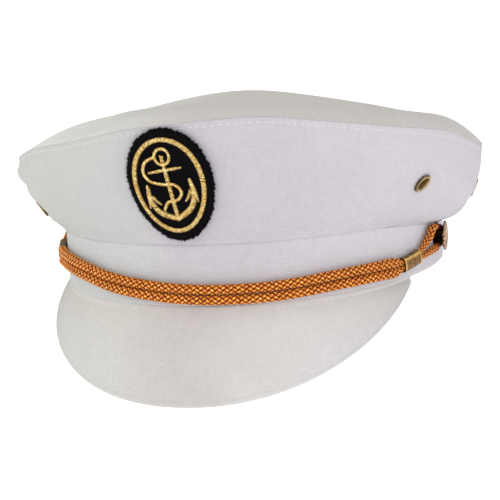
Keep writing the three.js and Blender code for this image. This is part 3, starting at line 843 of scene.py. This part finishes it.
def make_peak(across=240, along=56, rounding=0.035):
    u = np.linspace(-1, 1, across)
    out = np.concatenate([[0, 0.004], np.linspace(0.02, 1 - rounding, along)])
    reach, depth = (column[:, 0] for column in section(out, out[::-4], rounding, 7))
    folded = PEAK_HEM["depth"] * bump(reach, PEAK_HEM["reach"], PEAK_HEM["width"]) * (depth < 0.1)
    inset = PEAK["thickness"] * depth - folded
    points = peak_top(u[:, None], reach[None], inset[None])
    lap = 1 - smooth(reach / PEAK_LAP["reach"])
    points += PEAK_LAP["out"] * outward(PEAK["half_span"] * u)[:, None] * lap[None, :, None]
    points[..., 2] += PEAK_LAP["up"] * lap
    flat = stack(u[:, None] * PEAK_CLOTH_HALF_WIDTH, reach[None] * PEAK["reach"], 0)[..., :2]
    grid_piece("cap_peak", PEAK_COTTON, "cotton", "peak", points, planar=flat, caps=True)


def capsule_rows(length, radius, sides=6):
    """Rows of a short thread along x, flattened a little, from end to end."""
    turn = np.linspace(0, math.pi, 6)
    x = -np.cos(turn) * length / 2
    r = np.maximum(np.sin(turn), 0.05) ** 0.6 * radius
    around = full_turn(sides)
    return stack(x[:, None], r[:, None] * np.cos(around), r[:, None] * np.sin(around) * 0.75)


def make_top_stitches():
    level = STITCH["level"]
    angle = all_round(3600)
    run = run_length(crown_side(angle, level))
    count = int(run[-1] / STITCH["pitch"])
    at = np.interp(np.arange(count) * run[-1] / count, run, angle)
    along = unit(crown_side(at + 0.3, level) - crown_side(at - 0.3, level))
    up = unit(crown_side(at, level + 0.01) - crown_side(at, level - 0.01))
    out = np.cross(along, up)
    rows = capsule_rows(STITCH["length"], STITCH["radius"])
    shape = Shape()
    for m, a, b, c in zip(crown_side(at, level), along, up, out):
        add_grid(shape, m + rows[..., :1] * a + rows[..., 1:2] * b + rows[..., 2:] * c, caps=True)
    piece("top_stitching", shape, WHITE_THREAD, "cotton")


# ---- chin cord ----

def slider_route(name):
    """Rows of angle and height through a slider, towards its button."""
    middle, rows = SLIDERS[name]
    return [(middle + math.copysign(1, middle) * turn, height) for turn, height in rows]


def doubled_stretch():
    """Rows of angle, height, split, lift and radius of the doubled cord, from right to left."""
    rows = [(*row, CORD["radius"] + GAP / 2, CORD["lift"], CORD["radius"]) for row in CORD_ROUTE]
    rows += [(*row, SLIDER["cord_split"], SLIDER["cord_lift"], SLIDER["cord_radius"])
             for name in SLIDERS for row in slider_route(name)]
    return sorted(rows)


def cord_route():
    """The endless route as rows of x, y, z and radius: along the upper strand, round the left
    button, back along the lower strand and round the right button."""
    def strand(side):
        return [(*band_point(a, lift, height + side * split), radius)
                for a, height, split, lift, radius in doubled_stretch()]

    def loop(button):
        name, angle, height = button
        per_degree = np.linalg.norm(band_point(angle + 1) - band_point(angle))
        back = math.copysign(1, angle) / per_degree
        return [(*band_point(angle + back * along, lift, height + rise), radius)
                for along, rise, radius, lift in [LOOP_START[name], *LOOP_ROUTE]]

    return strand(1) + loop(BUTTONS[1]) + strand(-1)[::-1] + loop(BUTTONS[0])[::-1]


YARNS = 6  # in each direction
# The length of one turn of a yarn, and the rest as shares of the cord's radius.
BRAID = {"lay": 17.7, "fullness": 1.08, "middle": 0.66, "sway": 0.16, "half_width": 0.32,
         "half_height": 0.18, "core": 0.62}
BUTTON_SHADE = {"lift": 2.0, "reach": 7.5, "gain": 1.3, "depth": 0.75}


def make_cord(step=0.56, sides=6):
    route = cord_route()
    _, length = spline(route, 10, closed=True)
    samples = int(length / step)
    line, length = spline(route, samples, closed=True)
    middle, radius = line[:, :3], line[:, 3:] * BRAID["fullness"]
    along = directions(middle, closed=True)
    out = unit(middle * [1, 1, 0])
    side = unit(np.cross(along, out))
    rise = np.cross(side, along)
    turns = round(length / BRAID["lay"])
    phase = np.arange(samples) / samples * turns * 2 * math.pi
    shanks = [band_point(angle, BUTTON_SHADE["lift"], height) for _, angle, height in BUTTONS]
    under = sum(bump(np.linalg.norm(middle - shank, axis=1), 0, BUTTON_SHADE["reach"])
                for shank in shanks)
    open_light = 1 - BUTTON_SHADE["depth"] * np.minimum(under * BUTTON_SHADE["gain"], 1)
    # Painted shade on each yarn's flanks, with its top left light.
    flank_shade = smooth(1.25 * np.sin(full_turn(sides)) + 0.1)
    half_width, half_height = (BRAID[k] * radius[:, 0] for k in ("half_width", "half_height"))
    shape = Shape()
    for family in (1, -1):
        over = family * np.cos(YARNS * phase)
        height = BRAID["middle"] + BRAID["sway"] * over
        # Painted shade where a yarn dips under the other family, light where it floats over.
        tone = smooth(0.6 + 0.5 * over) * open_light
        for k in range(YARNS):
            turn = (family * phase + 2 * math.pi * k / YARNS)[:, None]
            radial = np.cos(turn) * rise + np.sin(turn) * side
            yarn = middle + radial * height[:, None] * radius
            across = unit(np.cross(directions(yarn, closed=True), radial))
            rows = tube_rows(yarn, across, radial, half_width, half_height, sides)
            uv_step = (0.6, length / samples)
            add_grid(shape, rows, loop=True, uv_step=uv_step, shade=tone[:, None] * flank_shade)
    # A core inside the braid, all painted shade, that shows dark through the gaps.
    core = BRAID["core"] * radius[::4, 0]
    core = tube_rows(middle[::4], side[::4], rise[::4], core, core, 8)
    add_grid(shape, core, loop=True, shade=np.zeros(core.shape[:2]))
    piece("braided_cord", shape, CORD_YARN, "cord", "chin_cord")


def make_slider(name, material, columns=56, along=33):
    """A flat tube round both strands, with a painted highlight along its upper corner and on its
    rolled ends.
    """
    rows = [band_point(angle, SLIDER["cord_lift"], height) for angle, height in slider_route(name)]
    line, length = spline(rows, 400)
    run = np.linspace(-1, 1, along) * SLIDER["length"] / 2
    middle = read_off((0.5 + run / length) * 399, np.arange(400), line)
    out = np.broadcast_to(outward(SLIDERS[name][0]), middle.shape)
    side = unit(np.cross(directions(middle), out))
    side = side * np.sign(side[:, 2:])
    half_depth = SLIDER["cord_radius"] + GAP
    lip = bump(np.abs(run), SLIDER["length"] / 2 - SLIDER["wall"], SLIDER["lip_width"])
    outer, inner = (
        tube_rows(middle, side, out, SLIDER["cord_split"] + half_depth + grow, half_depth + grow,
                  columns, SLIDER["squareness"])
        for grow in (SLIDER["wall"] + SLIDER["lip"] * lip, 0))
    turn = full_turn(columns)
    # Painted highlight along the tube's upper corner and on the upper side of its rolled ends.
    ridge = 0.08 + 0.92 * bump(np.degrees(turn), 50, 14)
    facing = 0.55 + 0.45 * square(np.sin(turn), SLIDER["squareness"])
    highlight_share = np.maximum(ridge, lip[:, None] * facing)
    # The tube's inside is left at 0, painted shade.
    grid_piece(f"{name}_tube", material, "brass", name, np.concatenate([outer, inner[::-1]]),
               loop=True, shade=np.concatenate([highlight_share, 0 * highlight_share]))


# ---- brass buttons and eyelets ----

LATHE_TURN = full_turn(48)


def lathe(shape, profile, place, axes, tones=None, glint=1.0):
    """Turns (radius, height) rows round the axes' third direction. tones, painted light and shade,
    has one value for each row, and glint scales them round the ring."""
    profile = np.asarray(profile, float)
    closed = np.allclose(profile[0], profile[-1])
    radius, height = np.split(profile[:-1] if closed else profile, 2, axis=1)
    local = stack(radius * np.cos(LATHE_TURN), radius * np.sin(LATHE_TURN), height)
    shade = None
    if tones is not None:
        shade = np.array(tones)[:len(local), None] * glint * np.ones(len(LATHE_TURN))
    add_grid(shape, place + local @ axes, loop=closed, caps=not closed, shade=shade)


def rounded(profile, corner=0.3, steps=4):
    """Cuts each corner of a closed profile with a small curve."""
    p = np.asarray(profile, float)
    made = []
    for before, here, after in zip(np.roll(p, 1, 0), p, np.roll(p, -1, 0)):
        a, b = (here + unit(other - here) * min(corner, np.linalg.norm(other - here) * 0.45)
                for other in (before, after))
        for t in np.linspace(0, 1, steps):
            made.append((1 - t) ** 2 * a + 2 * t * (1 - t) * here + t * t * b)
    return np.array(made + made[:1])


def make_eyelet(name, *seat):
    hole, outer, barrel = EYELET["hole"], EYELET["radius"], EYELET["barrel"]
    front, thick = EYELET["clearance"], EYELET["flange"]
    back = -CROWN["wall"] - EYELET["clearance"] - 0.2
    profile = rounded([
        (hole, back - thick), (outer - 0.4, back - thick), (outer, back), (barrel, back),
        (barrel, front - 0.4), (outer, front - 0.3), (outer - 0.25, front + thick * 0.6),
        (outer - 0.65, front + thick), (outer - 1.05, front + thick * 0.7),
        (hole + 0.35, front - 0.5), (hole, front - 1.2),
    ])
    # Painted highlight on the ring's crest; glint makes it strongest on one side.
    crest_highlight = bump(profile[:, 0], outer - 1.1, 0.6) * bump(profile[:, 1], front + 0.8 * thick, 0.5)
    glint = 0.4 + 0.6 * bump(np.degrees(LATHE_TURN), 130, 50)
    shape = Shape()
    lathe(shape, profile, *eyelet_seat(*seat), crest_highlight, glint)
    piece(f"{name}_ring", shape, EYELET_BRASS, "brass", name)


def button_seat(angle, height):
    tilt = math.radians(math.copysign(BUTTON["tilt"], angle))
    place = band_point(angle, GAP + BUTTON["shank"] * math.sin(abs(tilt)), height)
    c, s = math.cos(tilt), math.sin(tilt)
    return place, np.array([[c, 0, -s], [0, 1, 0], [s, 0, c]]) @ seat_axes(outward(angle))


BUTTON_MARKS = [  # lines of the raised anchor on a button, each as x and y
    [(0, 2.6), (0, -2.6)],
    [(-1.6, 1.3), (1.6, 1.3)],
    [(-2.5, -0.6), (-1.9, -1.9), (0, -2.7), (1.9, -1.9), (2.5, -0.6)],
    [(-0.6, 3.1), (0, 2.5), (0.6, 3.1), (0, 3.6), (-0.6, 3.1)],
]


def make_button(name, angle, height, beads=40):
    radius, lift, edge, dome = (BUTTON[k] for k in ("radius", "lift", "edge", "dome"))
    place, axes = button_seat(angle, height)
    face = lift + edge
    rows = [  # radius, height, painted highlight, with 0 for painted shade on the back and groove
        (0.05, 0, 0), (BUTTON["shank"], 0, 0), (BUTTON["shank"], lift, 0), (radius - 0.5, lift, 0),
        (radius - 0.1, lift + 0.15, 0), (radius, lift + 0.45, 0), (radius - 0.1, face - 0.15, 0.2),
        (radius - 0.4, face, 0.5), (radius - 0.9, face - 0.1, 0.3), (radius - 1.1, face - 0.25, 0),
        (radius - 1.5, face - 0.2, 0), (radius - 1.9, face + 0.1, 0.4),
        (radius * 0.6, face + 0.45 * dome, 0.3), (radius * 0.3, face + 0.7 * dome, 0.4),
        (0.05, face + 0.75 * dome, 0.4),
    ]
    shape = Shape()
    lathe(shape, [row[:2] for row in rows], place, axes, tones=[row[2] for row in rows])
    down = np.linspace(0.2, math.pi - 0.2, 5)[:, None]
    around = full_turn(8)
    ball = stack(np.sin(down) * np.cos(around), np.sin(down) * np.sin(around), np.cos(down))
    # The beads and the raised anchor keep tone 1, a painted highlight.
    for x, y in oval(beads, radius - 1.1, radius - 1.1):
        add_grid(shape, place + ([x, y, face - 0.1] + 0.32 * ball) @ axes, caps=True)
    for mark in BUTTON_MARKS:
        line, _ = spline([(x, y, 0) for x, y in mark], 14)
        line[:, 2] = face + 0.72 * dome - 0.03 * (line[:, 0] ** 2 + line[:, 1] ** 2)
        wide = unit(np.cross(directions(line), UP))
        rows = tube_rows(line, wide, np.broadcast_to(UP, line.shape), 0.32, 0.3, 8)
        add_grid(shape, place + rows @ axes, caps=True)
    piece(f"{name}_coin", shape, BUTTON_BRASS, "brass", name)


def make_shade_disc(name, angle, height, radius=5.9, thickness=0.35):
    """A black disc under a button, on the band: painted shade, a dark sheet where the deep
    shade under the button falls.
    """
    rows = [(0.05, 0.02), (radius - 0.1, 0.02), (radius, 0.12), (radius, thickness - 0.1),
            (radius - 0.12, thickness), (radius * 0.5, thickness), (0.05, thickness)]
    shape = Shape()
    lathe(shape, rows, band_point(angle, 0.0, height), seat_axes(outward(angle)))
    piece(f"{name}_shade_disc", shape, FELT, "felt")


# ---- badge ----

def badge_point(x, y, lift):
    tilt = math.radians(BADGE["tilt"])
    along = x * math.cos(tilt) - y * math.sin(tilt)
    up = x * math.sin(tilt) + y * math.cos(tilt)
    at, level = BADGE["angle"], BADGE["level"]
    width = np.linalg.norm(crown_side(at + 1, level) - crown_side(at, level))
    height = np.linalg.norm(crown_side(at, 1.0) - crown_side(at, 0.0))
    return crown_side(at + along / width, level + up / height, lift)


FELT_BACK = 0.1 + GAP
# How the cut edge strays from a true oval: waves round it, phase, size.
FELT_EDGE = [(9, 1, 0.1), (17, 4, 0.1), (31, 0, 0.1), (89, 5, 0.13)]
HAIRS = {"count": 4200, "root": 0.06, "shortest": 0.2, "longest": 0.75, "stray": 0.5}
HAIR_FACES = np.array([(0, 1, 3), (1, 2, 3), (2, 0, 3), (0, 2, 1)])


def felt_edge(turn):
    uneven = sum(size * np.sin(waves * turn + phase) for waves, phase, size in FELT_EDGE)
    return uneven + 0.17 * np.sin(61 * turn + 2 + 2 * np.sin(7 * turn))


def felt_point(turn, share, stray):
    x = (BADGE["half_width"] * share + stray) * np.cos(turn)
    y = (BADGE["half_height"] * share + stray) * np.sin(turn)
    return x, y


def add_hairs(shape):
    """Fine hairs that stand out of the felt's cut edge, each a thin pyramid."""
    count, stray = HAIRS["count"], HAIRS["stray"]
    at = RNG.uniform(0, 2 * math.pi, count)
    deep = RNG.uniform(0, 1, count)
    rim = felt_point(at, 0.985 + 0.015 * np.sin(deep * math.pi), felt_edge(at))
    roots = stack(*rim, FELT_BACK + BADGE["felt"] * (1 - deep))
    lean = stack(np.cos(at), np.sin(at), 0.2) + RNG.normal(0, stray, (3, count)).T
    lengths = RNG.uniform(HAIRS["shortest"], HAIRS["longest"], count)
    for root, out, length in zip(roots, unit(lean), lengths):
        wide = unit(np.cross(out, [0.3, 0.2, 0.93]))
        foot = [math.cos(t) * wide + math.sin(t) * np.cross(out, wide) for t in full_turn(3)]
        corners = np.array([root + HAIRS["root"] * side for side in foot] + [root + out * length])
        shape.add(badge_point(*corners.T), (HAIR_FACES, np.zeros((4, 3, 2))))


def make_felt(columns=520, rounding=0.06):
    turn = full_turn(columns)
    out = np.linspace(0.03, 1 - rounding, 18)
    share, depth = section(out, out[::-3], rounding, 6)
    x, y = felt_point(turn, share, felt_edge(turn)[None] * share ** 8)
    nap = ripple(stack(x, y, 0), 21, 3.0, 0.05) * (depth < 0.3)
    shape = Shape()
    add_grid(shape, badge_point(x, y, FELT_BACK + BADGE["felt"] * (1 - depth) + nap), caps=True)
    add_hairs(shape)
    piece("badge_ground", shape, FELT, "felt", "badge_felt")


THREAD = {"half_width": 0.24, "half_height": 0.192, "foot": 2 * GAP + BADGE["felt"] - 0.15}
ARCH = np.linspace(-1, 1, 7)  # across a line of satin stitch, where a thread's points are


def satin(shape, line, half_width, closed=False, pitch=0.55, slant=0.45, relief=0.75):
    """Lays threads side by side across a line of (x, y) points, over a low crown."""
    fine, length = spline([(x, y, 0) for x, y in line], 400, closed)
    index = np.linspace(0, 399, max(2, int(length / pitch)), endpoint=not closed)
    middle = read_off(index, np.arange(400), fine[:, :2])
    along = unit(read_off(index, np.arange(400), directions(fine[:, :2], closed)))
    widths = np.interp(index / 399, np.linspace(0, 1, len(half_width)), half_width)
    arch = relief * np.sqrt(np.clip(1.02 - ARCH * ARCH, 0, 1))
    # Painted shade: each thread is darker towards its ends, where it dips into the felt.
    tone = 0.25 + 0.75 * np.sqrt(np.clip(1 - ARCH * ARCH, 0, 1))
    for m, a, w in zip(middle, along, widths):
        w = w * RNG.uniform(0.94, 1.08)
        lean = slant * w * ARCH + RNG.normal(0, 0.05)
        flat = m + np.array([-a[1], a[0]]) * (w * ARCH)[:, None] + a * lean[:, None]
        points = stack(flat[:, 0], flat[:, 1], THREAD["foot"] + arch * RNG.uniform(0.92, 1.08))
        run = directions(points)
        wide = unit(np.cross(run, UP))
        rows = tube_rows(points, wide, np.cross(wide, run), THREAD["half_width"],
                         THREAD["half_height"], 5)
        shade = np.repeat(tone[:, None], 5, 1) * RNG.uniform(0.7, 1.0)
        add_grid(shape, badge_point(*np.moveaxis(rows, -1, 0)), caps=True, shade=shade)


def make_border():
    shape = Shape()
    line = oval(40, BADGE["border_half_width"], BADGE["border_half_height"])
    satin(shape, line, [BADGE["border_width"] / 2], closed=True)
    piece("border_embroidery", shape, GOLD, "gold_thread", "badge_border")


# The anchor's lines in the badge's plane, and their half-widths from end to end.
ROPE = [(-2.9, 12.6), (-6.6, 11.2), (-8.5, 7.6), (-7.2, 3.4), (-2.4, 1), (2.4, 0), (4.3, -3.5),
        (2, -6.3), (-2, -6.8), (-4.4, -9.6)]
SHANK = [(0.2, 12.6), (0.2, 0), (0.2, -13.2)]
STOCK = [(-6.4, 6.6), (0, 6.6), (6.4, 6.6)]
ARM_AND_FLUKE = [
    ([(8.6, 0.8), (8.9, -5.2), (6.6, -10.4), (0.4, -14)], [0.7, 0.95, 1.2, 1.35, 1.1]),
    ([(8.6, 1.6), (9.6, -4.6), (10, -8)], [0.4, 0.9, 0.3]),
    ([(8.0, -3.4), (6.6, -5.6), (5.2, -7.2)], [0.9, 0.7, 0.3]),
]
CROWN_TIP = [(-1.6, -13.2), (0.2, -14), (2, -13.2)]


def make_anchor():
    shape = Shape()
    shackle = oval(14, 2.8, 3.3, 0.3, 12.2)
    satin(shape, shackle, [0.5, 0.7, 0.5, 0.65, 0.5], closed=True, pitch=0.5)
    satin(shape, ROPE, [0.62], pitch=0.5, slant=0.9)
    satin(shape, SHANK, [0.75, 0.85, 0.95], relief=0.95)
    satin(shape, STOCK, [0.45, 0.7, 0.65, 0.7, 0.45])
    for side in (-1, 1):
        for line, half_width in ARM_AND_FLUKE:
            satin(shape, [(side * x, y) for x, y in line], half_width)
    satin(shape, CROWN_TIP, [0.7, 1.15, 0.7])
    piece("anchor_embroidery", shape, GOLD, "gold_thread", "badge_anchor")


# ---- the hat ----

add_camera()
add_studio()
make_crown_side()
make_crown_top()
make_band()
make_peak()
make_top_stitches()
make_cord()
make_slider("slider_left", SLIDER_BRASS)
make_slider("slider_right", DULL_BRASS)
for button in BUTTONS:
    make_button(*button)
    make_shade_disc(*button)
for eyelet in EYELETS:
    make_eyelet(*eyelet)
make_felt()
make_border()
make_anchor()
